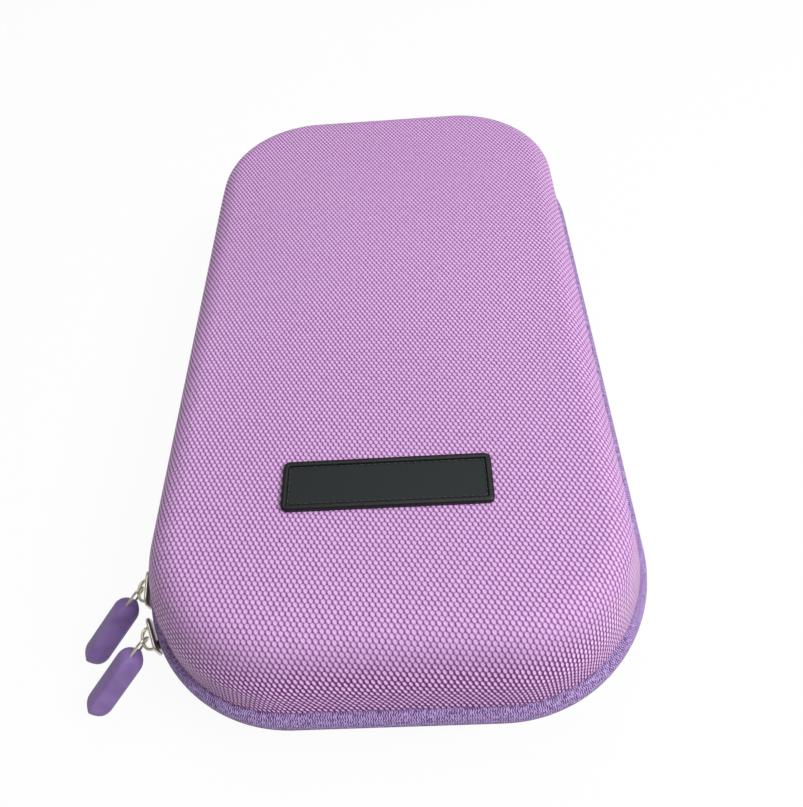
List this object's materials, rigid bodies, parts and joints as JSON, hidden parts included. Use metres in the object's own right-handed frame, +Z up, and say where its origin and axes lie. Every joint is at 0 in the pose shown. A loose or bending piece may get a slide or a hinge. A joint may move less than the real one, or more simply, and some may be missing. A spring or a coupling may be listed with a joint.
{
  "type": "hard zip case",
  "caption": "Moulded hard case with rounded corners, hinged lid, zip round three sides with two sliders and moulded grips, net pocket and elastic strap inside",
  "frame": {"origin": "middle of the flat bottom, where the case lies on a table", "axes": "+Y runs along the case from the patch end to the far end, +X runs from the hinge to the opening side, +Z is up out of the lid"},
  "size_m": [0.194, 0.275, 0.0698],
  "materials": {
    "woven_cover": "glossy plain weave",
    "foam_core": "matte foam",
    "lining": "smooth matte",
    "zip_tape": "fine knit",
    "zip_coil": "satin",
    "binding": "ribbed tape",
    "elastic": "ribbed elastic",
    "net": "open net",
    "patch": "satin",
    "slider_metal": "pale nickel",
    "grip": "satin"
  },
  "bodies": {
    "base": {"base_cover": "woven_cover", "base_shell": "foam_core", "base_lining": "lining", "base_zip_tape": "zip_tape", "base_zip_coil": "zip_coil", "base_binding": "binding", "base_hinge_leaf": "zip_tape", "base_strap": "elastic", "strap_tabs": "binding", "zip_closed_end": "zip_tape", "zip_end_coil": "zip_coil"},
    "lid": {"lid_cover": "woven_cover", "lid_shell": "foam_core", "lid_lining": "lining", "lid_zip_tape": "zip_tape", "lid_zip_coil": "zip_coil", "lid_binding": "binding", "lid_hinge_leaf": "zip_tape", "lid_patch": "patch", "pocket_net": "net", "pocket_hem": "elastic", "pocket_edge": "binding"},
    "far_slider_body": {"far_slider": "slider_metal"},
    "near_slider_body": {"near_slider": "slider_metal"},
    "far_pull": {"far_pull_wire": "slider_metal", "far_pull_grip": "grip"},
    "near_pull": {"near_pull_wire": "slider_metal", "near_pull_grip": "grip"}
  },
  "joints": [
    {"name": "lid_hinge", "type": "hinge", "parent": "base", "child": "lid", "pos_m": [-0.0835, 0, 0.032], "axis": [0, -1, 0], "range_deg": [0, 92]},
    {"name": "far_slider_run", "type": "hinge", "parent": "base", "child": "far_slider_body", "pos_m": [-0.0315, -0.0855, 0.032], "axis": [0, 0, 1], "range_deg": [0, 2.8]},
    {"name": "near_slider_run", "type": "hinge", "parent": "base", "child": "near_slider_body", "pos_m": [-0.0315, -0.0855, 0.032], "axis": [0, 0, 1], "range_deg": [0, 50]},
    {"name": "far_pull_swing", "type": "hinge", "parent": "far_slider_body", "child": "far_pull", "pos_m": [-0.08788, -0.09242, 0.032], "axis": [0, 0, 1], "range_deg": [-65, 3]},
    {"name": "near_pull_swing", "type": "hinge", "parent": "near_slider_body", "child": "near_pull", "pos_m": [-0.08298, -0.10951, 0.032], "axis": [0, 0, 1], "range_deg": [-3, 18]}
  ]
}
